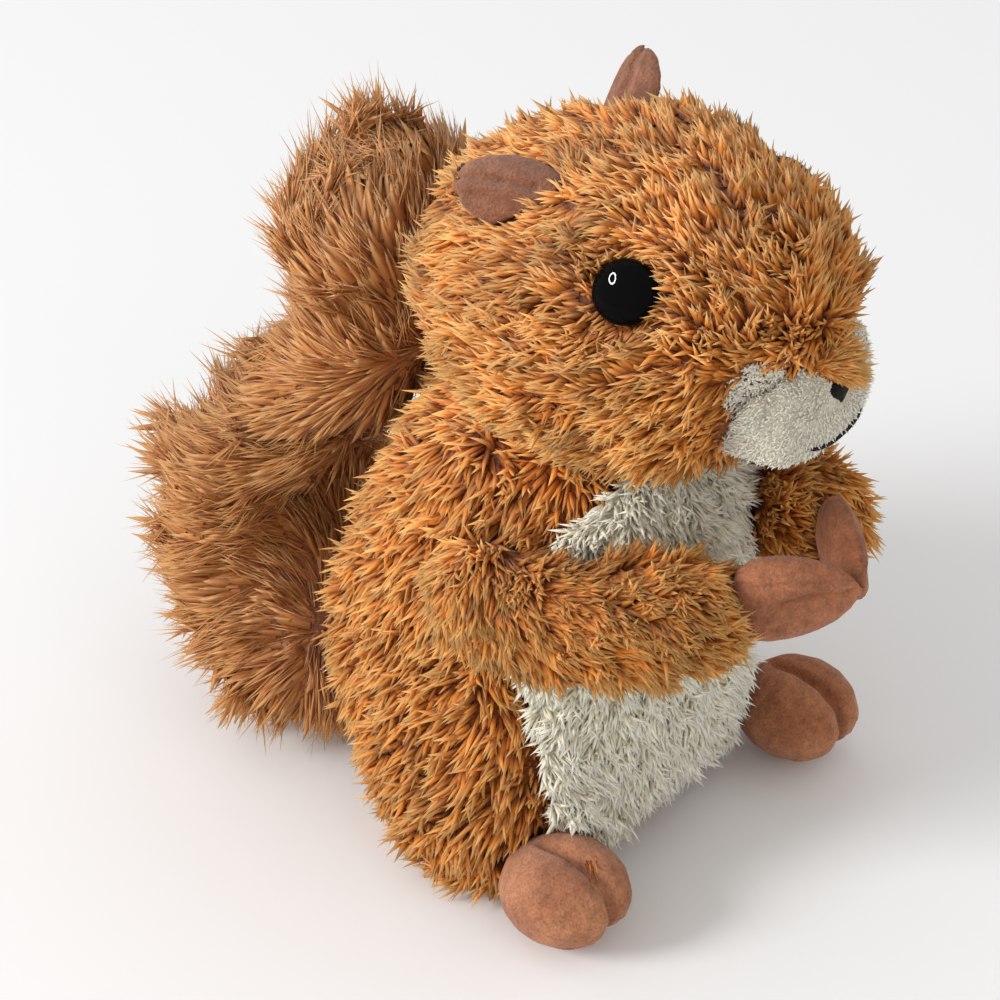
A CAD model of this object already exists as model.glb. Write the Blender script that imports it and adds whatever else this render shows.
"""Looks of a sitting plush squirrel: shaggy pile, velour ears, paws and feet, and glossy eyes.

Each furry solid gets a padding, which is its form without the locks, and a pile of thousands of tapered
locks that follow its lay. The velour pieces are soft forms with creases, seams and fuzz.
"""

import math

import bmesh
import bpy
from mathutils import Matrix, Vector, noise
from mathutils.bvhtree import BVHTree


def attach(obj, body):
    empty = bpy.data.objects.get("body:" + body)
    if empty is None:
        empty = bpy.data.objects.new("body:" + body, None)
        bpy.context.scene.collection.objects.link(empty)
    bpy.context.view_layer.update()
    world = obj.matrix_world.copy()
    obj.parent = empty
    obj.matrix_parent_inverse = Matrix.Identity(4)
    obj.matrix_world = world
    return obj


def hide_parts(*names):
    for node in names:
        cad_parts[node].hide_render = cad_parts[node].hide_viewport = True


bl_info = {
    "name": "Plush squirrel",
    "version": (1, 0, 0),
    "blender": (4, 5, 0),
    "location": "View3D > Sidebar > Squirrel",
    "description": "Dresses the solids of a plush squirrel in pile, velour and gloss",
    "category": "Object",
}

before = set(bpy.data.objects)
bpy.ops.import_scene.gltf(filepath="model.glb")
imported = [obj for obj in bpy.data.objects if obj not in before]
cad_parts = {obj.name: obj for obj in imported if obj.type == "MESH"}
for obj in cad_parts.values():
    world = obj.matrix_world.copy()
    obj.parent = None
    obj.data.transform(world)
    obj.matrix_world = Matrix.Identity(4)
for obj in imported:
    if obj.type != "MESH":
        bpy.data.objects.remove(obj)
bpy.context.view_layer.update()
MM = 0.001
SIDES = (("right", -1.0), ("left", 1.0))

# The forms that the solids were built on.
HEAD_CENTRE = Vector((0.0, -42.0, 151.0)) * MM
HEAD_HALF = Vector((42.5, 50.0, 36.0)) * MM
EYE_PLACE = Vector((0.75, -0.38, 0.54))
EYE_RISE = -0.6 * MM
MUZZLE_CENTRE = HEAD_CENTRE + Vector((0.0, -38.0, -12.0)) * MM
MUZZLE_HALF = Vector((21.5, 15.0, 15.0)) * MM
NOSE_TIP = Vector((0.0, -95.0, 144.0)) * MM
BODY_CORE = Vector((0.0, -13.0, 56.0)) * MM
CUFF = Vector((17.0, -86.0, 94.0)) * MM
SHOULDER = Vector((33.0, -14.0, 86.0)) * MM
PAW_MEET = Vector((0.3, -105.0, 95.5)) * MM
PAW_WIDTH_AXIS = Vector((0.25, 0.35, 0.9))
FEET = {"right": Vector((-44.6, -55.1, 13.4)) * MM, "left": Vector((48.0, -59.4, 13.4)) * MM}
EARS = {
    "right": (Vector((-0.56, 0.20, 0.80)), Vector((-0.50, 0.85, 0.20)), Vector((0.50, 0.10, 0.85))),
    "left": (Vector((0.48, 0.44, 0.75)), Vector((0.68, 0.05, 0.68)), Vector((-0.10, -0.90, 0.40))),
}

# The button eyes: radius, height of the dome and depth behind its rim, and how near the pile comes.
EYE_RADIUS = 7.2
EYE_DOME = 4.6
EYE_BACK = 2.8
EYE_CLEAR = 6.0 * MM

# The forehead's tufts hang over the nose down to a line that rises to the sides.
BROW_TUFTS = Vector((0.0, -86.0, 152.0)) * MM
BROW_SPREAD = 8.0 * MM
BROW_LINE = 145.0 * MM
BROW_LEVEL = 1.5 * MM

# White cloth beside the muzzle, on the cheek: its middle, mirrored to the left, and its radius.
CHEEK_PATCH = Vector((17.5, -85.5, 148.5)) * MM
CHEEK_RADIUS = 7.5 * MM

# Strays: two dark specks of lint on the right ear, and a streak of orange pile on the right foot.
EAR_LINT = (Vector((-31.3, -16.6, 185.2)) * MM, Vector((-29.9, -14.9, 186.6)) * MM)
EAR_LINT_RADIUS = 0.55 * MM
FOOT_LINT = (Vector((-42.4, -60.6, 24.0)) * MM, Vector((-46.2, -64.2, 21.0)) * MM)
FOOT_LINT_HALF = 1.6 * MM

# Stitched lines of ears and paws: two places along and across the leaf, the depth and the half width in mm.
EAR_LENGTH = 20.0 * MM
EAR_HALF = 8.0 * MM
EAR_LINES = (((0.05, 0.25), (0.95, 0.05), 1.3, 1.0), ((0.1, -0.45), (0.8, -0.35), 0.8, 1.2))
PAW_HALF = 11.0 * MM
PAW_LINES = (((0.0, 0.50), (0.95, 0.30), 0.8, 0.7), ((0.25, 0.05), (0.85, 0.05), 1.0, 0.9),
             ((0.15, -0.55), (0.5, -0.45), 0.9, 1.2))

# How many locks each pile has.
LOCKS = {
    "head_pile": 20000, "body_pile": 18500, "belly_pile": 12000, "right_arm_pile": 7000,
    "left_arm_pile": 5000, "tail_pile": 4600, "tail_wisps": 15500, "brow_pile": 1500, "muzzle_pile": 5600,
    "cheek_pile": 2600, "foot_lint": 40,
}
# Each pile has to stay under this, and grows only where its share is over the least share.
MOST_TRIANGLES = 200000
LEAST_SHARE = 0.04

# Stage, in metres and degrees: what the camera and lamps aim at, and where they stand.
TARGET = Vector((0.0, -20.0, 86.0)) * MM
CAMERA_AZIMUTH = -53.0
CAMERA_ELEVATION = 33.0
CAMERA_DISTANCE = 0.7142857
CAMERA_LENS = 108.0
CAMERA_SHIFT = -0.06
WORLD_LEVEL = 0.66
FLOOR_HALF = 4.0
# Lamps: place, size and share of the light level.
LAMPS = {"key": ((-1.9, 1.15, 1.2), 1.0, 1.0), "fill": ((-0.9, -1.9, 0.9), 1.6, 0.1)}

# The ring lamp that mirrors in the eye: place, the way its longer side runs, half sizes and strength.
RING_PLACE = Vector((-0.258, 0.163, 0.562))
RING_TALL = Vector((0.5, 0.28, 0.1))
RING_HALF = (0.075, 0.14, 1.0)
RING_HOLE = 0.72
RING_GLOW = 520.0

# How the tail's pile flows: places behind the middle and up, in mm, and the way it runs there.
TAIL_FLOWS = (
    ((38, 190), (0.1, 1.0)), ((22, 165), (-0.25, 1.0)), ((40, 150), (0.15, 1.0)), ((56, 152), (0.7, 0.8)),
    ((52, 128), (0.9, 0.2)), ((28, 125), (0.4, 0.8)), ((22, 105), (0.9, -0.25)), ((44, 100), (1.0, -0.2)),
    ((66, 100), (0.9, 0.6)), ((90, 80), (0.8, 0.7)), ((98, 50), (1.0, 0.2)), ((86, 24), (0.9, -0.4)),
    ((60, 6), (0.4, -1.0)), ((28, 8), (-0.2, -1.0)), ((48, 62), (1.0, 0.3)), ((26, 74), (0.5, 0.9)),
    ((46, 40), (0.8, -0.6)), ((24, 34), (0.1, -1.0)), ((70, 50), (1.0, 0.0)), ((64, 76), (0.9, 0.5)),
)
# Creases between the tail's lobes: two ends behind the middle and up, in mm, the depth and the half width.
TAIL_CREASES = (
    ((48, 88), (2, 92), 5.0, 5.0),
    ((62, 116), (53, 88), 3.5, 5.0),
    ((53, 88), (60, 66), 2.5, 5.0),
    ((24, 130), (52, 124), 3.0, 7.0),
)


# Shapes

def add_object(name, mesh):
    item = bpy.data.objects.new(name, mesh)
    bpy.context.scene.collection.objects.link(item)
    return item


def keep_shape(shape, name):
    """Turn a finished bmesh into a mesh of its own."""
    mesh = bpy.data.meshes.new(name)
    shape.to_mesh(mesh)
    shape.free()
    return mesh


def add_shape(shape, name, smooth=False):
    for face in shape.faces:
        face.smooth = smooth
    return add_object(name, keep_shape(shape, name))


def with_normals(verts):
    """Vertices with their normals as they were before any of them moves."""
    return [(vert, vert.normal.copy()) for vert in verts]


def mesh_tree(mesh):
    faces = [tuple(face.vertices) for face in mesh.polygons]
    return BVHTree.FromPolygons([vert.co for vert in mesh.vertices], faces)


def line_gap(spot, start, end):
    """The way from the nearest place of a line to a spot, and how far along the line that place is."""
    run = end - start
    share = min(1.0, max(0.0, (spot - start).dot(run) / run.length_squared))
    return spot - start - run * share, share


def apply_modifiers(item):
    """Make the item's mesh what its modifiers show, and drop the modifiers."""
    bpy.context.view_layer.update()
    graph = bpy.context.evaluated_depsgraph_get()
    mesh = bpy.data.meshes.new_from_object(item.evaluated_get(graph))
    item.modifiers.clear()
    old = item.data
    item.data = mesh
    bpy.data.meshes.remove(old)


def soft_copy(node, name, voxel, relax, inset):
    """A smooth copy of a solid: even faces, locks and corners relaxed, drawn in by the inset."""
    shape = bmesh.new()
    shape.from_mesh(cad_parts[node].data)
    bmesh.ops.remove_doubles(shape, verts=shape.verts[:], dist=0.01 * MM)
    item = add_shape(shape, name)
    even = item.modifiers.new("even", "REMESH")
    even.mode = "VOXEL"
    even.voxel_size = voxel
    apply_modifiers(item)
    shape = bmesh.new()
    shape.from_mesh(item.data)
    for _ in range(relax):
        bmesh.ops.smooth_vert(shape, verts=shape.verts[:], factor=0.5,
                              use_axis_x=True, use_axis_y=True, use_axis_z=True)
    shape.normal_update()
    for vert, normal in with_normals(shape.verts):
        vert.co -= normal * inset
    for face in shape.faces:
        face.smooth = True
    shape.to_mesh(item.data)
    shape.free()
    return item


def solids_tree(leave_out):
    """The surface of all the solids but those named."""
    points, faces = [], []
    for name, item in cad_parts.items():
        if name in leave_out:
            continue
        start = len(points)
        points.extend(vert.co.copy() for vert in item.data.vertices)
        faces.extend([start + index for index in face.vertices] for face in item.data.polygons)
    return BVHTree.FromPolygons(points, faces)


def smoothstep(low, high, value):
    share = min(1.0, max(0.0, (value - low) / (high - low)))
    return share * share * (3.0 - 2.0 * share)


# The offsets that noise_vector adds are drawn from the clock unless they are seeded.
noise.seed_set(7)


def swirl(place, size, seed):
    """A smooth random direction that changes over the given size."""
    return noise.noise_vector(place / size + Vector((seed, 1.7 * seed, -seed)))


def patch(place, size, seed):
    """A smooth random value from -1 to 1 that changes over the given size."""
    return noise.noise(place / size + Vector((seed, -seed, 2.3 * seed)))


def side_vector(vector, side):
    return Vector((vector[0] * side, vector[1], vector[2]))


def head_spot(place):
    share = place.normalized()
    return HEAD_CENTRE + Vector([share[axis] * HEAD_HALF[axis] for axis in range(3)])


def eye_frame(side):
    place = side_vector(EYE_PLACE, side).normalized()
    facing = Vector([place[axis] / HEAD_HALF[axis] for axis in range(3)]).normalized()
    return head_spot(place) + facing * EYE_RISE, facing


# Pile

def tuft(name, curl, cuts, waist):
    """One lock of pile, a unit high: three sides that taper to a point and curl over."""
    shape = bmesh.new()
    bmesh.ops.create_cone(shape, cap_ends=False, segments=3, radius1=0.5, radius2=0.0, depth=1.0)
    bmesh.ops.translate(shape, verts=shape.verts[:], vec=(0.0, 0.0, 0.5))
    for height in cuts:
        bmesh.ops.bisect_plane(shape, geom=shape.verts[:] + shape.edges[:] + shape.faces[:],
                               plane_co=(0.0, 0.0, height), plane_no=(0.0, 0.0, 1.0))
    bmesh.ops.recalc_face_normals(shape, faces=shape.faces[:])
    across = shape.loops.layers.uv.new("OFBake")
    for face in shape.faces:
        middle = face.calc_center_median()
        for loop in face.loops:
            turn = math.atan2(loop.vert.co.y, loop.vert.co.x)
            gap = (turn - math.atan2(middle.y, middle.x) + math.pi) % (2.0 * math.pi) - math.pi
            if loop.vert.co.z > 0.999:
                gap = 0.0
            loop[across].uv = (0.5 + gap / (2.0 * math.pi), loop.vert.co.z)
    for vert in shape.verts:
        along = vert.co.z
        if 0.01 < along < 0.99:
            full = waist * (1.0 - along ** 2.2) / max(0.05, 1.0 - along)
            vert.co.x *= full
            vert.co.y *= full
        vert.co.x += curl * along * along
    return bpy.data.objects.new(name, keep_shape(shape, name))


TUFT_CURLS = ((0.12, 1.0), (0.24, 0.9), (0.36, 1.05), (-0.10, 0.95))


def tuft_set(name, cuts=(0.45,), slim=5.0, bend=1.0):
    """A collection of locks with different curls, kept out of the scene. Slim is length over width."""
    group = bpy.data.collections.new(name)
    for number, (curl, waist) in enumerate(TUFT_CURLS):
        group.objects.link(tuft(f"{name}_{number}", curl * slim * bend, cuts, waist))
    return group


class Net:
    """A node tree with short calls for adding and joining nodes."""

    def __init__(self, tree):
        self.tree = tree

    def add(self, kind, inputs=(), **values):
        node = self.tree.nodes.new(kind)
        for key, value in values.items():
            setattr(node, key, value)
        for key, value in dict(inputs).items():
            self.give(node.inputs[key], value)
        return node

    def give(self, socket, value):
        if isinstance(value, bpy.types.NodeSocket):
            self.tree.links.new(value, socket)
        elif isinstance(value, bpy.types.Node):
            self.tree.links.new(value.outputs[0], socket)
        else:
            socket.default_value = value

    def math(self, operation, first, second=0.0):
        return self.add("ShaderNodeMath", {0: first, 1: second}, operation=operation).outputs[0]

    def times(self, first, second):
        return self.math("MULTIPLY", first, second)

    def plus(self, first, second):
        return self.math("ADD", first, second)

    def vector(self, operation, first, second=(0.0, 0.0, 0.0)):
        return self.add("ShaderNodeVectorMath", {0: first, 1: second}, operation=operation).outputs[0]

    def scaled(self, vector, scale):
        node = self.add("ShaderNodeVectorMath", {0: vector}, operation="SCALE")
        self.give(node.inputs["Scale"], scale)
        return node.outputs[0]

    def grain(self, place, scale, detail, rough=0.5):
        return self.add("ShaderNodeTexNoise", {"Vector": place, "Scale": scale, "Detail": detail,
                                               "Roughness": rough}).outputs[0]


def pile_tree(locks, density, form, seed):
    """Geometry nodes that plant locks on a padding, lean them along its lay and draw them into clumps."""
    tree = bpy.data.node_groups.new("pile", "GeometryNodeTree")
    tree.interface.new_socket("Geometry", in_out="INPUT", socket_type="NodeSocketGeometry")
    tree.interface.new_socket("Geometry", in_out="OUTPUT", socket_type="NodeSocketGeometry")
    net = Net(tree)
    start = net.add("NodeGroupInput").outputs[0]

    def open_socket(sockets, name=None):
        return next(socket for socket in sockets if socket.enabled and name in (None, socket.name))

    def named(name, kind):
        node = net.add("GeometryNodeInputNamedAttribute", {"Name": name}, data_type=kind)
        return open_socket(node.outputs, "Attribute")

    def chance(kind, low, high, offset):
        node = net.add("FunctionNodeRandomValue", data_type=kind)
        for name, value in (("Min", low), ("Max", high), ("Seed", seed + offset)):
            open_socket(node.inputs, name).default_value = value
        return open_socket(node.outputs)

    share = named("share", "FLOAT")
    thick = net.times(net.math("GREATER_THAN", share, LEAST_SHARE), density)
    spread = net.add("GeometryNodeDistributePointsOnFaces", {"Mesh": start}, distribute_method="RANDOM")
    net.give(open_socket(spread.inputs, "Density"), thick)
    open_socket(spread.inputs, "Seed").default_value = seed
    normal = spread.outputs["Normal"]
    spot = net.add("GeometryNodeInputPosition").outputs[0]
    cell = net.add("ShaderNodeTexVoronoi", {"Vector": spot, "Scale": 1.0 / form["clump_size"]})
    gather = net.vector("SUBTRACT", cell.outputs["Position"], spot)
    whim = net.vector("SUBTRACT", cell.outputs["Color"], (0.5, 0.5, 0.5))
    lean = net.vector("ADD", net.scaled(normal, form["stand"]), named("lay", "FLOAT_VECTOR"))
    lean = net.vector("ADD", lean, net.scaled(gather, form["clump"] / form["clump_size"]))
    lean = net.vector("ADD", lean, net.scaled(whim, 2.0 * form["whim"]))
    loose = net.scaled(chance("FLOAT_VECTOR", (-1, -1, -1), (1, 1, 1), 1), form["wander"])
    lean = net.vector("ADD", lean, loose)
    face = net.add("FunctionNodeAlignRotationToVector", {"Vector": lean}, axis="Z")
    back = net.vector("ADD", net.scaled(normal, -1.0),
                      net.scaled(chance("FLOAT_VECTOR", (-1, -1, -1), (1, 1, 1), 2), 0.9))
    turn = net.add("FunctionNodeAlignRotationToVector", {"Rotation": face, "Vector": back},
                   axis="X", pivot_axis="Z")
    tall = net.times(net.times(share, form["length"]), chance("FLOAT", 0.62, 1.15, 3))
    shorter = net.math("SUBTRACT", 1.2, net.times(cell.outputs["Distance"], 0.5))
    tall = net.times(tall, shorter)
    wide = net.times(chance("FLOAT", 0.65, 1.3, 4), form["width"])
    wide = net.times(wide, net.plus(net.times(share, 0.5), 0.5))
    size = net.add("ShaderNodeCombineXYZ", {0: net.times(wide, form["flat"]), 1: wide, 2: tall})
    locks_in = net.add("GeometryNodeCollectionInfo",
                       {"Collection": locks, "Separate Children": True, "Reset Children": True})
    planted = net.add("GeometryNodeInstanceOnPoints",
                      {"Points": spread.outputs["Points"], "Instance": locks_in.outputs[0],
                       "Pick Instance": True, "Rotation": turn, "Scale": size})
    own = net.add("ShaderNodeSeparateXYZ", {0: whim}).outputs[0]
    tone = net.plus(named("tone", "FLOAT"), chance("FLOAT", -form["spread"], form["spread"], 5))
    tone = net.plus(tone, net.times(own, form["spread"] * 1.5))
    kept = net.add("GeometryNodeStoreNamedAttribute",
                   {"Geometry": planted, "Name": "lock_tone"}, data_type="FLOAT", domain="INSTANCE")
    net.give(open_socket(kept.inputs, "Value"), tone)
    whole = net.add("GeometryNodeRealizeInstances", {"Geometry": kept})
    across = net.add("ShaderNodeSeparateXYZ", {0: named("OFBake", "FLOAT_VECTOR")})
    column = net.add("ShaderNodeClamp", {0: named("lock_tone", "FLOAT"), 1: 0.02, 2: 0.98})
    shift = net.times(net.math("SUBTRACT", across.outputs[0], 0.5), 0.014)
    place = net.add("ShaderNodeCombineXYZ", {0: net.plus(column, shift), 1: across.outputs[1]})
    laid = net.add("GeometryNodeStoreNamedAttribute", {"Geometry": whole, "Name": "OFBake"},
                   data_type="FLOAT2", domain="CORNER")
    net.give(open_socket(laid.inputs, "Value"), place)
    net.add("NodeGroupOutput", {0: laid})
    return tree


def pile_form(length, width, stand=0.6, wander=0.3, clump=0.7, clump_size=5.0, whim=0.35, flat=1.0,
              spread=0.2):
    """How a pile is: lock sizes, how upright and loose it is, its clumps in mm and its spread of tones."""
    return {"length": length, "width": width, "stand": stand, "wander": wander, "clump": clump,
            "clump_size": clump_size * MM, "whim": whim, "flat": flat, "spread": spread}


def grow_pile(padding, name, locks, form, seed, rule):
    """Plant the named pile's locks on a padding. The rule gives share, lay and tone at a place."""
    mesh = padding.data
    for key, kind in (("share", "FLOAT"), ("lay", "FLOAT_VECTOR"), ("tone", "FLOAT")):
        mesh.attributes.new(key, kind, "POINT")
    share, lay, tone = (mesh.attributes[key] for key in ("share", "lay", "tone"))
    for vert in mesh.vertices:
        value, way, shade = rule(vert.co.copy(), vert.normal.copy())
        flat = way - vert.normal * way.dot(vert.normal)
        share.data[vert.index].value = value
        lay.data[vert.index].vector = flat.normalized() if flat.length > 1e-6 else flat
        tone.data[vert.index].value = shade
    area = 0.0
    for face in mesh.polygons:
        if sum(share.data[index].value for index in face.vertices) / len(face.vertices) > LEAST_SHARE:
            area += face.area
    item = add_object(name, mesh.copy())
    growth = item.modifiers.new("pile", "NODES")
    growth.node_group = pile_tree(locks, LOCKS[name] / area, form, seed)
    apply_modifiers(item)
    for face in item.data.polygons:
        face.use_smooth = True
    triangles = sum(len(face.vertices) - 2 for face in item.data.polygons)
    print(name, "triangles", triangles)
    if not 0 < triangles < MOST_TRIANGLES:
        raise RuntimeError(f"{name} has {triangles} triangles")
    return item


def cover_rule(node, lay, tone, reach=2.0 * MM, share=None, leave_out=()):
    """A rule that keeps pile off what a neighbour covers, and turns it outwards near the floor."""
    tree = solids_tree({node} | set(leave_out))

    def rule(place, normal):
        hit = tree.ray_cast(place + normal * (0.5 * MM), normal, reach)
        value = 0.0 if hit[0] is not None else 1.0
        if value and share:
            value = share(place, normal)
        if place.z < 1.5 * MM:
            value = 0.0
        way = lay(place, normal)
        near = 1.0 - smoothstep(4.0 * MM, 16.0 * MM, place.z)
        way.z = way.z * (1.0 - near) + 0.4 * near
        return value, way, tone(place, normal)

    return rule


# Materials

COLOUR = "NodeSocketColor"
FLOAT = "NodeSocketFloat"


def shade_group(name, inputs):
    """A new node group that makes a colour and a height, with its net and its inputs."""
    tree = bpy.data.node_groups.new(name, "ShaderNodeTree")
    for label, kind, value in inputs:
        socket = tree.interface.new_socket(label, in_out="INPUT", socket_type=kind)
        socket.default_value = value
    for label, kind in (("Colour", COLOUR), ("Height", FLOAT)):
        tree.interface.new_socket(label, in_out="OUTPUT", socket_type=kind)
    net = Net(tree)
    return tree, net, net.add("NodeGroupInput").outputs


def mix(net, amount, first, second):
    node = net.add("ShaderNodeMix", data_type="RGBA")
    net.give(node.inputs[0], amount)
    net.give(node.inputs[6], first)
    net.give(node.inputs[7], second)
    return node.outputs[2]


def ramp(net, value, low, high):
    node = net.add("ShaderNodeMapRange", interpolation_type="SMOOTHSTEP")
    for index, entry in enumerate((value, low, high, 0.0, 1.0)):
        net.give(node.inputs[index], entry)
    return node.outputs[0]


def lock_group():
    """Colour along a lock: dark root, warm middle, pale tip, fine strands, and a tone for each lock."""
    tree, net, given = shade_group("lock colour", (
        ("Root", COLOUR, (0.1, 0.05, 0.02, 1)), ("Middle", COLOUR, (0.3, 0.15, 0.05, 1)),
        ("Tip", COLOUR, (0.6, 0.4, 0.2, 1)), ("Contrast", FLOAT, 0.5), ("Strands", FLOAT, 0.3)))
    spot = net.add("ShaderNodeSeparateXYZ", {0: net.add("ShaderNodeUVMap", uv_map="OFBake")})
    tone, along = spot.outputs[0], spot.outputs[1]
    base = mix(net, ramp(net, along, 0.0, 0.5), given["Root"], given["Middle"])
    base = mix(net, ramp(net, along, 0.42, 1.0), base, given["Tip"])
    strand = net.add("ShaderNodeCombineXYZ", {0: net.times(tone, 900.0), 1: net.times(along, 2.2)})
    grain = net.grain(strand, 1.0, 2.0)
    lift = net.times(net.math("SUBTRACT", tone, 0.5), given["Contrast"])
    grain_lift = net.times(net.math("SUBTRACT", grain, 0.5), given["Strands"])
    level = net.plus(net.plus(lift, grain_lift), 1.0)
    shown = net.scaled(base, net.math("MAXIMUM", level, 0.1))
    net.add("NodeGroupOutput", {"Colour": shown, "Height": grain})
    return tree


def cloth_group():
    """Short velour: soft patches, rubbed nap and fine fuzz."""
    tree, net, given = shade_group("velour nap", (
        ("Colour", COLOUR, (0.4, 0.2, 0.1, 1)), ("Worn", COLOUR, (0.5, 0.3, 0.2, 1)),
        ("Specks", FLOAT, 0.0)))
    place = net.add("ShaderNodeTexCoord").outputs["Object"]
    broad = net.grain(place, 90.0, 3.0)
    patchy = net.grain(place, 420.0, 4.0)
    fuzz = net.grain(place, 1400.0, 3.0, 0.7)
    colour = mix(net, ramp(net, broad, 0.35, 0.7), given["Colour"], given["Worn"])
    level = net.plus(net.times(patchy, 0.9), net.times(fuzz, 1.5))
    shown = net.scaled(colour, net.plus(level, -0.2))
    spot = net.add("ShaderNodeTexVoronoi", {"Vector": place, "Scale": 120.0})
    pick = net.add("ShaderNodeSeparateXYZ", {0: spot.outputs["Color"]}).outputs[0]
    reach = net.times(ramp(net, pick, 0.72, 0.95), 0.16)
    ragged = net.times(net.math("SUBTRACT", fuzz, 0.5), 0.15)
    lint = net.math("LESS_THAN", net.plus(spot.outputs["Distance"], ragged), reach)
    shown = mix(net, net.times(lint, given["Specks"]), shown, linear(206, 132, 66))
    height = net.plus(net.times(fuzz, 0.7), net.times(patchy, 0.6))
    height = net.plus(height, net.times(lint, given["Specks"]))
    net.add("NodeGroupOutput", {"Colour": shown, "Height": height})
    return tree


def plain_material(name, **values):
    """A new material and its shader with the given values. In their names an underscore is a space."""
    surface = bpy.data.materials.new(name)
    surface.use_nodes = True
    shader = surface.node_tree.nodes["Principled BSDF"]
    for key, value in values.items():
        shader.inputs[key.replace("_", " ")].default_value = value
    return surface, shader


def new_material(name, group, values, rough, sheen, specular, bump=0.0, distance=0.0):
    surface, shader = plain_material(name, Roughness=rough, Sheen_Weight=sheen, Sheen_Roughness=0.5,
                                     Specular_IOR_Level=specular)
    net = Net(surface.node_tree)
    used = net.add("ShaderNodeGroup", node_tree=group)
    for key, value in values.items():
        used.inputs[key].default_value = value
    net.give(shader.inputs["Base Color"], used.outputs["Colour"])
    if bump:
        relief = net.add("ShaderNodeBump", {"Strength": bump, "Distance": distance,
                                            "Height": used.outputs["Height"]})
        net.give(shader.inputs["Normal"], relief.outputs["Normal"])
    return surface


def linear(red, green, blue):
    """A colour on the shader's scale from 0 to 255 values."""
    return tuple(((value / 255.0 + 0.055) / 1.055) ** 2.4 for value in (red, green, blue)) + (1.0,)


def make_materials():
    locks, nap = lock_group(), cloth_group()
    made = {
        "orange": new_material("orange_pile_locks", locks, {
            "Root": linear(126, 61, 15), "Middle": linear(200, 123, 49), "Tip": linear(236, 184, 112),
            "Contrast": 1.1, "Strands": 0.5}, rough=0.7, sheen=0.06, specular=0.08),
        "brown": new_material("tail_pile_locks", locks, {
            "Root": linear(176, 112, 60), "Middle": linear(198, 134, 76), "Tip": linear(216, 163, 104),
            "Contrast": 0.4, "Strands": 0.5}, rough=0.65, sheen=0.06, specular=0.1),
        "white": new_material("white_pile_locks", locks, {
            "Root": linear(196, 188, 166), "Middle": linear(240, 234, 212), "Tip": linear(251, 248, 236),
            "Contrast": 0.3, "Strands": 0.2}, rough=0.8, sheen=0.1, specular=0.2),
        "muzzle": new_material("muzzle_pile_locks", locks, {
            "Root": linear(214, 206, 188), "Middle": linear(240, 235, 220), "Tip": linear(248, 245, 234),
            "Contrast": 0.25, "Strands": 0.15}, rough=0.85, sheen=0.1, specular=0.15),
    }
    for name, colour, worn in (
        ("orange_ground", (112, 56, 16), (140, 76, 26)),
        ("tail_ground", (150, 92, 48), (170, 108, 60)),
        ("white_ground", (190, 183, 164), (210, 204, 186)),
        ("ear_velour", (136, 86, 60), (158, 104, 76)),
        ("paw_velour", (146, 90, 60), (168, 108, 76)),
        ("foot_velour", (158, 100, 68), (180, 120, 84)),
    ):
        specks = 1.0 if name == "paw_velour" else 0.0
        made[name] = new_material(
            name, nap, {"Colour": linear(*colour), "Worn": linear(*worn), "Specks": specks},
            rough=0.95, sheen=0.15, specular=0.15, bump=0.9, distance=0.8 * MM)
    return made


materials = {}


def dress(item, material, node=None):
    """Give an item its material, its place on the body and what it stands for."""
    item.data.materials.clear()
    item.data.materials.append(materials[material])
    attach(item, "root")
    if node:
        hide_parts(node)
    return item


# Sizes and light that a user would change

def length_setting(name, description, default):
    return bpy.props.FloatProperty(name=name, description=description, default=default,
                                   unit="LENGTH", subtype="DISTANCE")


class SquirrelPile(bpy.types.PropertyGroup):
    head_length: length_setting("Head pile", "Length of the locks on the head", 8.0 * MM)
    body_length: length_setting("Body pile", "Length of the locks on the body", 8.5 * MM)
    tail_length: length_setting("Tail pile", "Length of the locks on the tail", 15.0 * MM)
    lock_width: length_setting("Lock width", "Width of a lock at its root", 1.6 * MM)


class SquirrelStage(bpy.types.PropertyGroup):
    light_level: bpy.props.FloatProperty(
        name="Light", description="Strength of the main lamp in watts", default=43.0, subtype="POWER")


# Rules of the pile

def fresh_tone(place, seed):
    """The tone of a pile at a place: broad and small patches around the middle tone."""
    return 0.5 + 0.28 * patch(place, 14.0 * MM, seed) + 0.12 * patch(place, 4.0 * MM, seed + 3.0)


def plain_tone(seed, lift=0.0):
    return lambda place, normal: fresh_tone(place, seed) + lift


def outside(point, centre, half):
    """Roughly how far a point is outside an ellipsoid."""
    scaled = Vector([(point[axis] - centre[axis]) / half[axis] for axis in range(3)])
    return (scaled.length - 1.0) * min(half)


def brow_height(place):
    """How far a place of the muzzle is above the line that the forehead's tufts hang down to."""
    return place.z - BROW_LINE - max(0.0, abs(place.x) - BROW_LEVEL)


def cheek_gap(place):
    """How far a place is from the middle of the white cloth beside the muzzle."""
    return (Vector((abs(place.x), place.y, place.z)) - CHEEK_PATCH).length


def eye_gaps(place):
    """The ways from both eyes to a place."""
    return [place - eye_frame(side)[0] for _, side in SIDES]


def head_lay(place, normal):
    """Away from the nose, over the eyes from above, and forward and down at the brow."""
    away = (place - NOSE_TIP).normalized()
    way = away + Vector((0.0, 0.0, -0.25)) + swirl(place, 14.0 * MM, 3.1) * 0.9
    for gap in eye_gaps(place):
        push = -0.5 if gap.z > 3.0 * MM else 0.6
        way += gap.normalized() * push * (1.0 - smoothstep(EYE_CLEAR, 18.0 * MM, gap.length))
    fringe = math.exp(-((place - BROW_TUFTS).length / BROW_SPREAD) ** 2)
    return way * (1.0 - fringe) + Vector((0.0, -0.6, -0.8)) * (2.0 * fringe)


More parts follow.
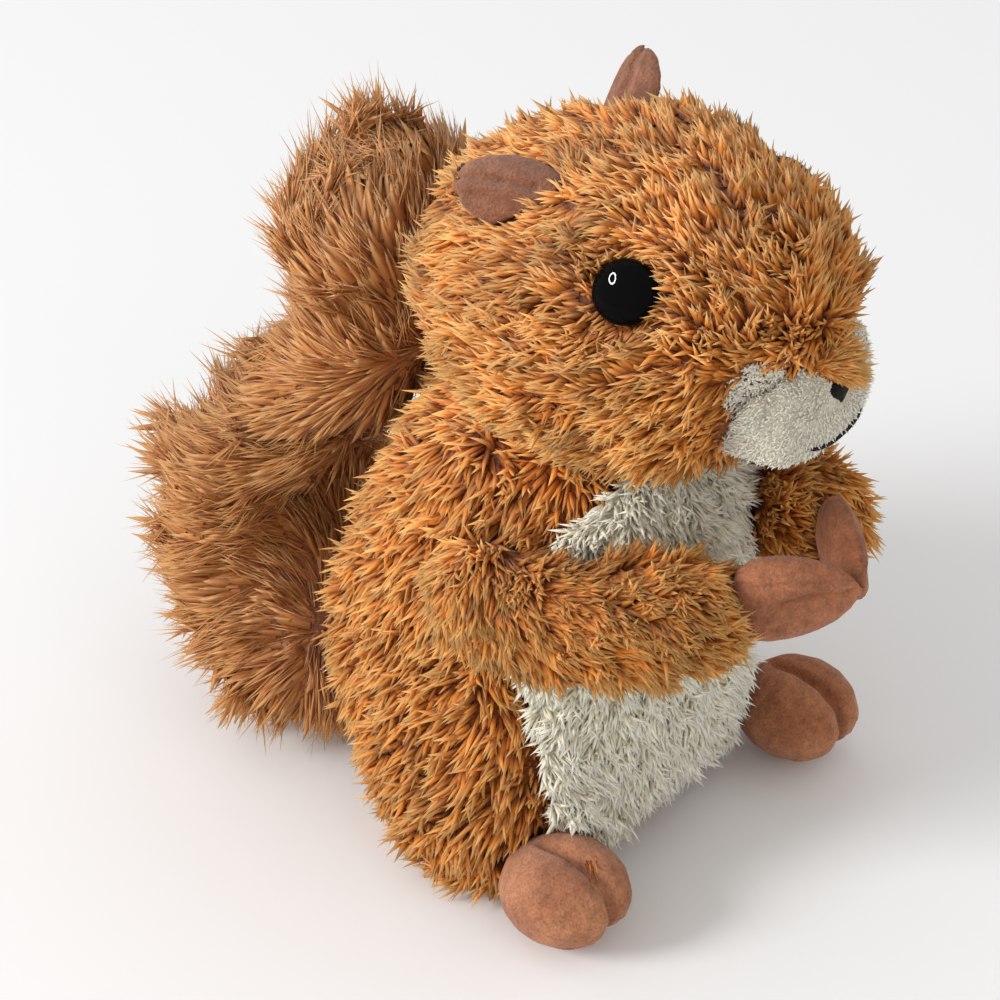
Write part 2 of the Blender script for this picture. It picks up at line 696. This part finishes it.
def head_share(place, normal):
    """Full over the head, shorter around eyes and muzzle, and none on them and on the white cheeks."""
    value = 1.0
    for gap in eye_gaps(place):
        if gap.length < EYE_CLEAR:
            return 0.0
        value *= 0.6 + 0.4 * smoothstep(EYE_CLEAR, 15.0 * MM, gap.length)
    rim = outside(place, MUZZLE_CENTRE, MUZZLE_HALF)
    clear = (-2.0 if place.z < MUZZLE_CENTRE.z - 4.0 * MM else 0.3) * MM
    if cheek_gap(place) < CHEEK_RADIUS or rim < clear:
        return 0.0
    value *= 0.6 + 0.4 * smoothstep(clear, clear + 7.0 * MM, rim)
    return value * (0.9 + 0.2 * patch(place, 9.0 * MM, 4.0))


def head_tone(place, normal):
    """Darker around the eyes and a little paler towards the top."""
    value = fresh_tone(place, 5.0)
    for gap in eye_gaps(place):
        value -= 0.22 * (1.0 - smoothstep(EYE_CLEAR, 24.0 * MM, gap.length))
    return value + 0.06 * smoothstep(-10.0 * MM, 30.0 * MM, place.z - HEAD_CENTRE.z)


def body_lay(place, normal):
    return Vector((0.0, 0.35, -1.0)) + swirl(place, 16.0 * MM, 7.3) * 0.9


def tail_lay(place, normal):
    """The mean of the flows, the nearer the stronger, spread a little to the sides."""
    way = Vector((place.x * 6.0, 0.0, 0.0))
    total = 0.0
    for (behind, up), (back, rise) in TAIL_FLOWS:
        gap = math.hypot(place.y / MM - behind, place.z / MM - up)
        weight = math.exp(-(gap / 13.0) ** 2) + 1e-6
        way += Vector((0.0, back, rise)).normalized() * weight
        total += weight
    return way / max(total, 0.02) + swirl(place, 22.0 * MM, 9.9) * 0.45


def crease_depth(place):
    """How deep the tail's creases are at a place, in mm."""
    spot = Vector((place.y, place.z)) / MM
    depth = 0.0
    for start, end, deep, half in TAIL_CREASES:
        gap, _ = line_gap(spot, Vector(start), Vector(end))
        depth += deep * math.exp(-(gap.length / half) ** 2)
    return depth


def tail_tone(place, normal):
    """Darker in the creases and paler at the top."""
    value = 0.5 + 0.22 * patch(place, 16.0 * MM, 15.0) + 0.1 * patch(place, 5.0 * MM, 16.0)
    value += 0.12 * smoothstep(150.0 * MM, 185.0 * MM, place.z)
    return value - 0.07 * crease_depth(place)


def belly_lay(place, normal):
    return Vector((0.0, 0.0, -1.0)) + swirl(place, 10.0 * MM, 4.4) * 1.1


# Operators

class SQUIRREL_OT_head(bpy.types.Operator):
    """Pad the head and plant its shaggy pile"""
    bl_idname = "squirrel.head"
    bl_label = "Head plush"

    def execute(self, context):
        sizes = context.scene.squirrel_pile
        padding = soft_copy("head", "head_padding", 2.4 * MM, 8, 1.2 * MM)
        rule = cover_rule("head", head_lay, head_tone, share=head_share,
                          leave_out={"muzzle", "nose_stitching", "right_eye", "left_eye"})
        form = pile_form(sizes.head_length, sizes.lock_width)
        locks = tuft_set("head_tufts")
        pile = grow_pile(padding, "head_pile", locks, form, 21, rule)
        dress(padding, "orange_ground", "head")
        dress(pile, "orange", None)
        return {"FINISHED"}


class SQUIRREL_OT_body(bpy.types.Operator):
    """Pad the body and plant its shaggy pile"""
    bl_idname = "squirrel.body"
    bl_label = "Body plush"

    def execute(self, context):
        sizes = context.scene.squirrel_pile
        padding = soft_copy("body", "body_padding", 2.8 * MM, 8, 1.2 * MM)
        panel = mesh_tree(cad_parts["belly_panel"].data)

        def share(place, normal):
            return 0.4 + 0.6 * smoothstep(1.5 * MM, 7.0 * MM, panel.find_nearest(place)[3])

        rule = cover_rule("body", body_lay, plain_tone(8.0, 0.06), share=share)
        form = pile_form(sizes.body_length, sizes.lock_width * 1.1)
        locks = tuft_set("body_tufts")
        pile = grow_pile(padding, "body_pile", locks, form, 22, rule)
        dress(padding, "orange_ground", "body")
        dress(pile, "orange", None)
        return {"FINISHED"}


class SQUIRREL_OT_belly(bpy.types.Operator):
    """Pad the belly panel and plant its white pile"""
    bl_idname = "squirrel.belly"
    bl_label = "Belly plush"

    def execute(self, context):
        sizes = context.scene.squirrel_pile
        padding = soft_copy("belly_panel", "belly_padding", 1.8 * MM, 3, 0.3 * MM)

        def share(place, normal):
            return 1.0 if normal.dot(place - BODY_CORE) > 0.0 else 0.0

        rule = cover_rule("belly_panel", belly_lay, plain_tone(2.0), share=share)
        form = pile_form(sizes.head_length * 0.75, sizes.lock_width * 0.75, wander=0.5, whim=0.5,
                         clump_size=4.0)
        locks = tuft_set("belly_tufts")
        pile = grow_pile(padding, "belly_pile", locks, form, 23, rule)
        dress(padding, "white_ground", "belly_panel")
        dress(pile, "white", None)
        return {"FINISHED"}


class SQUIRREL_OT_arms(bpy.types.Operator):
    """Pad both arms and plant their pile towards the cuffs"""
    bl_idname = "squirrel.arms"
    bl_label = "Arm plush"

    def execute(self, context):
        sizes = context.scene.squirrel_pile
        locks = tuft_set("arm_tufts")
        form = pile_form(sizes.head_length, sizes.lock_width)
        for number, (word, side) in enumerate(SIDES):
            run = side_vector(CUFF - SHOULDER, side).normalized()
            root = side_vector(SHOULDER, side)
            padding = soft_copy(word + "_arm", word + "_arm_padding", 2.0 * MM, 6, 1.0 * MM)

            def lay(place, normal):
                fore = smoothstep(0.0, 45.0 * MM, (place - root).dot(run))
                way = run * fore + Vector((side * 0.7, 0.1, -0.8)) * (1.0 - fore)
                return way + Vector((0.0, 0.0, -0.2)) + swirl(place, 13.0 * MM, 6.0) * 0.6

            rule = cover_rule(word + "_arm", lay, plain_tone(11.0))
            pile = grow_pile(padding, word + "_arm_pile", locks, form, 31 + number, rule)
            dress(padding, "orange_ground", word + "_arm")
            dress(pile, "orange", None)
        return {"FINISHED"}


class SQUIRREL_OT_tail(bpy.types.Operator):
    """Pad the tail and plant its long brushy pile"""
    bl_idname = "squirrel.tail"
    bl_label = "Tail plush"

    def execute(self, context):
        sizes = context.scene.squirrel_pile
        padding = soft_copy("tail", "tail_padding", 3.0 * MM, 10, 2.5 * MM)
        for vert, normal in with_normals(padding.data.vertices):
            off = max(0.0, tail_lay(vert.co, normal).normalized().dot(normal))
            vert.co -= normal * ((crease_depth(vert.co) + 8.0 * off * off) * MM)
        rule = cover_rule("tail", tail_lay, tail_tone, reach=3.0 * MM)
        broad = pile_form(sizes.tail_length * 0.8, sizes.lock_width * 1.9, stand=0.1, wander=0.15,
                          clump=0.3, clump_size=12.0, whim=0.1, flat=0.35, spread=0.06)
        locks = tuft_set("tail_tufts", (0.35, 0.7), 4.0, 0.25)
        pile = grow_pile(padding, "tail_pile", locks, broad, 24, rule)
        fine = pile_form(sizes.tail_length, sizes.lock_width * 0.42, stand=0.17, wander=0.16,
                         clump=0.6, clump_size=7.0, whim=0.12, spread=0.09)
        locks = tuft_set("tail_wisps", (0.5,), 17.0, 0.3)
        wisps = grow_pile(padding, "tail_wisps", locks, fine, 25, rule)
        dress(padding, "tail_ground", "tail")
        dress(pile, "brown", None)
        dress(wisps, "brown", None)
        return {"FINISHED"}


class SQUIRREL_OT_muzzle(bpy.types.Operator):
    """Pad the muzzle and plant its short white pile"""
    bl_idname = "squirrel.muzzle"
    bl_label = "Muzzle plush"

    def execute(self, context):
        sizes = context.scene.squirrel_pile
        padding = soft_copy("muzzle", "muzzle_padding", 1.0 * MM, 2, -0.9 * MM)
        for vert in padding.data.vertices:
            cheek = smoothstep(-93.0 * MM, -84.0 * MM, vert.co.y)
            above = vert.co.z - MUZZLE_CENTRE.z
            if above < -8.0 * MM:
                vert.co.z -= (above + 8.0 * MM) * 0.45
            vert.co.z += above * (0.2 if above > 0.0 else -0.1) * cheek
            vert.co.x *= 1.0 + cheek * (0.2 * smoothstep(-3.0 * MM, 5.0 * MM, above) - 0.08)

        def lay(place, normal):
            return (place - NOSE_TIP).normalized() + swirl(place, 6.0 * MM, 1.0) * 0.8

        def bare(place, normal):
            nose = smoothstep(3.0 * MM, 6.0 * MM, (place - NOSE_TIP).length)
            return nose * (1.0 - smoothstep(-1.0 * MM, 2.0 * MM, brow_height(place)))

        def fringe(place, normal):
            return smoothstep(0.5 * MM, 3.0 * MM, brow_height(place))

        def hang(place, normal):
            return Vector((0.0, -0.9, -0.75)) + swirl(place, 9.0 * MM, 2.0) * 0.5

        over = cover_rule("muzzle", hang, head_tone, 1.0 * MM, fringe, {"head", "nose_stitching"})
        tufts = pile_form(sizes.head_length * 0.95, sizes.lock_width * 0.85, stand=0.65, whim=0.5)
        locks = tuft_set("brow_tufts", (0.3, 0.65))
        brow = grow_pile(padding, "brow_pile", locks, tufts, 27, over)
        dress(brow, "orange", None)

        short = {"wander": 0.9, "clump": 0.2, "clump_size": 2.0, "whim": 0.15, "spread": 0.1}
        rule = cover_rule("muzzle", lay, plain_tone(1.0), 0.4 * MM, bare, {"head", "mouth_stitch"})
        form = pile_form(1.4 * MM, 0.5 * MM, stand=0.7, **short)
        locks = tuft_set("muzzle_tufts", slim=3.0)
        pile = grow_pile(padding, "muzzle_pile", locks, form, 26, rule)

        def cheeks(place, normal):
            return 1.0 - smoothstep(CHEEK_RADIUS, 9.0 * MM, cheek_gap(place))

        rule = cover_rule("head", lay, plain_tone(1.0), 0.4 * MM, cheeks, {"muzzle"})
        form = pile_form(1.8 * MM, 0.8 * MM, stand=0.5, **short)
        cheek = grow_pile(bpy.data.objects["head_padding"], "cheek_pile", locks, form, 28, rule)
        dress(cheek, "muzzle", None)
        dress(padding, "white_ground", "muzzle")
        dress(pile, "muzzle", None)
        return {"FINISHED"}


def leaf_grooves(piece, root, tip, across, outer, half, lines):
    """Press stitched lines into a leaf, only on its outer side where that is given."""
    along = (tip - root).normalized()
    reach = (tip - root).length
    across = (across - along * across.dot(along)).normalized()
    for vert, normal in with_normals(piece.data.vertices):
        if outer is not None and normal.dot(outer) < 0.1:
            continue
        arm = vert.co - root
        spot = Vector((arm.dot(along) / reach, arm.dot(across) / half))
        for start, end, deep, wide in lines:
            gap, share = line_gap(spot, Vector(start), Vector(end))
            gap = gap - Vector((0.0, 0.10 * math.sin(math.pi * share)))
            gap = math.hypot(gap.x * reach, gap.y * half)
            vert.co -= normal * (deep * MM * math.exp(-(gap / (wide * MM)) ** 2))


def foot_grooves(piece, centre):
    """Deepen the toe crease and press in the seam of the sole."""
    for vert, normal in with_normals(piece.data.vertices):
        arm = vert.co - centre
        front = smoothstep(-2.0 * MM, 6.0 * MM, arm.z - arm.y)
        cleft = math.exp(-(arm.x / (1.3 * MM)) ** 2) * front * smoothstep(1.0 * MM, 4.0 * MM, vert.co.z)
        vert.co -= normal * (2.2 * MM * cleft)
        seam = vert.co.z - (5.5 * MM + 2.5 * MM * math.cos(arm.x / (7.0 * MM)))
        ahead = smoothstep(-2.0 * MM, 2.0 * MM, -arm.y)
        vert.co -= normal * (0.7 * MM * math.exp(-(seam / (0.6 * MM)) ** 2) * ahead)


def foot_streak(place, normal):
    """The rule of the stray orange pile: only along its streak, and lying along it."""
    near = line_gap(place, *FOOT_LINT)[0].length
    return (1.0 if near < FOOT_LINT_HALF else 0.0), FOOT_LINT[1] - FOOT_LINT[0], 0.5


class SQUIRREL_OT_velour(bpy.types.Operator):
    """Make the soft velour ears, paws and feet with their seams and creases"""
    bl_idname = "squirrel.velour"
    bl_label = "Velour pieces"

    def execute(self, context):
        for word, side in SIDES:
            ear = soft_copy(word + "_ear", word + "_ear_velour", 0.6 * MM, 2, 0.0)
            seat, axis, across = EARS[word]
            root = head_spot(seat)
            tip = root + axis.normalized() * EAR_LENGTH
            leaf_grooves(ear, root, tip, across, None, EAR_HALF, EAR_LINES)
            dress(ear, "ear_velour", word + "_ear")

            paw = soft_copy(word + "_paw", word + "_paw_velour", 0.6 * MM, 2, 0.0)
            wrist, tip = side_vector(CUFF, side), side_vector(PAW_MEET, side)
            leaf_grooves(paw, wrist, tip, side_vector(PAW_WIDTH_AXIS, side), Vector((side, 0.0, 0.3)),
                         PAW_HALF, PAW_LINES)
            dress(paw, "paw_velour", word + "_paw")

            foot = soft_copy(word + "_foot", word + "_foot_velour", 0.8 * MM, 2, 0.0)
            foot_grooves(foot, FEET[word])
            if word == "right":
                form = pile_form(4.0 * MM, 0.6 * MM, stand=0.06, wander=0.05, clump=0.0, whim=0.05)
                locks = tuft_set("lint_tufts", slim=4.0)
                lint = grow_pile(foot, "foot_lint", locks, form, 29, foot_streak)
                dress(lint, "orange", None)
            dress(foot, "foot_velour", word + "_foot")
        return {"FINISHED"}


class SQUIRREL_OT_eyes(bpy.types.Operator):
    """Set the glossy domed eyes"""
    bl_idname = "squirrel.eyes"
    bl_label = "Eyes"

    def execute(self, context):
        surface, shader = plain_material("eye_gloss", Specular_IOR_Level=0.03)
        net = Net(surface.node_tree)
        place = net.add("ShaderNodeTexCoord").outputs["Object"]
        haze = net.grain(place, 300.0, 2.0)
        net.give(shader.inputs["Roughness"], net.times(haze, 0.06))
        net.give(shader.inputs["Base Color"], mix(net, haze, linear(6, 6, 8), linear(12, 11, 12)))
        materials["eye"] = surface
        for word, side in SIDES:
            centre, facing = eye_frame(side)
            shape = bmesh.new()
            bmesh.ops.create_uvsphere(shape, u_segments=48, v_segments=24, radius=1.0)
            for vert in shape.verts:
                tall = EYE_DOME if vert.co.z > 0.0 else EYE_BACK
                vert.co = Vector((vert.co.x * EYE_RADIUS, vert.co.y * EYE_RADIUS, vert.co.z * tall)) * MM
            turn = facing.to_track_quat("Z", "Y").to_matrix().to_4x4()
            bmesh.ops.transform(shape, matrix=Matrix.Translation(centre) @ turn, verts=shape.verts[:])
            button = add_shape(shape, word + "_eye_button", smooth=True)
            dress(button, "eye", word + "_eye")
        return {"FINISHED"}


class SQUIRREL_OT_stitches(bpy.types.Operator):
    """Give the nose and mouth their black thread and lay two specks of lint on the right ear"""
    bl_idname = "squirrel.stitches"
    bl_label = "Nose and mouth"

    def execute(self, context):
        surface, shader = plain_material("satin_thread", Roughness=0.55, Specular_IOR_Level=0.12)
        net = Net(surface.node_tree)
        place = net.add("ShaderNodeTexCoord").outputs["Object"]
        rows = net.add("ShaderNodeTexWave", {"Vector": place, "Scale": 700.0, "Distortion": 1.0},
                       bands_direction="Z").outputs["Fac"]
        net.give(shader.inputs["Base Color"], mix(net, rows, linear(9, 7, 7), linear(30, 25, 24)))
        relief = net.add("ShaderNodeBump", {"Strength": 0.6, "Distance": 0.2 * MM, "Height": rows})
        net.give(shader.inputs["Normal"], relief.outputs["Normal"])
        materials["thread"] = surface
        for node in ("nose_stitching", "mouth_stitch"):
            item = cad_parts[node]
            item.data.materials.clear()
            item.data.materials.append(surface)

        ear = mesh_tree(bpy.data.objects["right_ear_velour"].data)
        shape = bmesh.new()
        for spot in EAR_LINT:
            place, normal = ear.find_nearest(spot)[:2]
            bmesh.ops.create_icosphere(shape, subdivisions=2, radius=EAR_LINT_RADIUS,
                                       matrix=Matrix.Translation(place + normal * 0.15 * MM))
        dress(add_shape(shape, "ear_lint", smooth=True), "thread", None)
        return {"FINISHED"}


def lay_floor():
    shape = bmesh.new()
    bmesh.ops.create_grid(shape, x_segments=1, y_segments=1, size=FLOOR_HALF)
    floor = add_shape(shape, "floor")
    surface, _ = plain_material("floor_paper", Base_Color=(0.96, 0.96, 0.96, 1.0), Roughness=0.9,
                                Specular_IOR_Level=0.03)
    floor.data.materials.append(surface)


def light_world(scene):
    """An even studio light that is seen and mirrored as white."""
    world = bpy.data.worlds.new("studio")
    world.use_nodes = True
    net = Net(world.node_tree)
    back = world.node_tree.nodes["Background"]
    back.inputs["Color"].default_value = (1.0, 1.0, 1.0, 1.0)
    path = net.add("ShaderNodeLightPath").outputs
    seen = net.math("MAXIMUM", path["Is Camera Ray"],
                    net.math("MAXIMUM", path["Is Glossy Ray"], path["Is Transmission Ray"]))
    level = net.plus(net.times(seen, 1.0 - WORLD_LEVEL), WORLD_LEVEL)
    net.give(back.inputs["Strength"], level)
    scene.world = world


def set_lamp(scene, name, place, size, power):
    lamp = bpy.data.lights.new(name, "AREA")
    lamp.energy = power
    lamp.size = size
    lamp.shape = "DISK"
    item = bpy.data.objects.new(name, lamp)
    item.location = place
    item.rotation_euler = (TARGET - Vector(place)).to_track_quat("-Z", "Y").to_euler()
    item.visible_glossy = False
    scene.collection.objects.link(item)


def set_ring():
    """A glowing oval ring that shows in glossy reflections only."""
    shape = bmesh.new()
    rims = []
    for radius in (1.0, RING_HOLE):
        circle = set(bmesh.ops.create_circle(shape, segments=48, radius=radius)["verts"])
        rims += [edge for edge in shape.edges if circle.issuperset(edge.verts)]
    bmesh.ops.bridge_loops(shape, edges=rims)
    ring = add_shape(shape, "ring_lamp")
    ring.scale = RING_HALF
    ring.location = RING_PLACE
    aim = (RING_PLACE - TARGET).normalized()
    tall = (RING_TALL - aim * RING_TALL.dot(aim)).normalized()
    ring.rotation_euler = Matrix((tall.cross(aim), tall, aim)).transposed().to_euler()
    surface, _ = plain_material("ring_glow", Base_Color=(0.0, 0.0, 0.0, 1.0),
                                Emission_Color=(1.0, 1.0, 1.0, 1.0), Emission_Strength=RING_GLOW)
    ring.data.materials.append(surface)
    for ray in ("camera", "diffuse", "transmission", "volume_scatter", "shadow"):
        setattr(ring, "visible_" + ray, False)


def set_camera(scene):
    azimuth, elevation = math.radians(CAMERA_AZIMUTH), math.radians(CAMERA_ELEVATION)
    back = Vector((math.sin(azimuth) * math.cos(elevation), -math.cos(azimuth) * math.cos(elevation),
                   math.sin(elevation)))
    lens = bpy.data.cameras.new("camera")
    lens.lens = CAMERA_LENS
    lens.shift_x = CAMERA_SHIFT
    lens.clip_start = 0.01
    camera = bpy.data.objects.new("camera", lens)
    camera.location = TARGET + back * CAMERA_DISTANCE
    camera.rotation_euler = (-back).to_track_quat("-Z", "Y").to_euler()
    scene.collection.objects.link(camera)
    scene.camera = camera


class SQUIRREL_OT_stage(bpy.types.Operator):
    """Lay the floor and set the lamps and the camera"""
    bl_idname = "squirrel.stage"
    bl_label = "Stage"

    def execute(self, context):
        scene = context.scene
        lay_floor()
        light_world(scene)
        for name, (place, size, share) in LAMPS.items():
            set_lamp(scene, name, place, size, scene.squirrel_stage.light_level * share)
        set_ring()
        set_camera(scene)
        scene.view_settings.view_transform = "Standard"
        return {"FINISHED"}


class SQUIRREL_PT_panel(bpy.types.Panel):
    """Lists the squirrel's sizes and steps"""
    bl_idname = "SQUIRREL_PT_panel"
    bl_label = "Squirrel"
    bl_space_type = "VIEW_3D"
    bl_region_type = "UI"
    bl_category = "Squirrel"

    def draw(self, context):
        for sizes in (context.scene.squirrel_pile, context.scene.squirrel_stage):
            for key in sizes.bl_rna.properties.keys():
                if key not in ("rna_type", "name"):
                    self.layout.prop(sizes, key)
        for step in STEPS:
            self.layout.operator(step.bl_idname)


STEPS = (SQUIRREL_OT_head, SQUIRREL_OT_body, SQUIRREL_OT_belly, SQUIRREL_OT_arms, SQUIRREL_OT_tail,
         SQUIRREL_OT_muzzle, SQUIRREL_OT_velour, SQUIRREL_OT_eyes, SQUIRREL_OT_stitches, SQUIRREL_OT_stage)
CLASSES = (SquirrelPile, SquirrelStage) + STEPS + (SQUIRREL_PT_panel,)


def register():
    for entry in CLASSES:
        bpy.utils.register_class(entry)
    bpy.types.Scene.squirrel_pile = bpy.props.PointerProperty(type=SquirrelPile)
    bpy.types.Scene.squirrel_stage = bpy.props.PointerProperty(type=SquirrelStage)


def unregister():
    del bpy.types.Scene.squirrel_stage
    del bpy.types.Scene.squirrel_pile
    for entry in reversed(CLASSES):
        bpy.utils.unregister_class(entry)


def main():
    register()
    materials.update(make_materials())
    for step in STEPS:
        group, name = step.bl_idname.split(".")
        getattr(getattr(bpy.ops, group), name)()


if __name__ == "__main__":
    main()
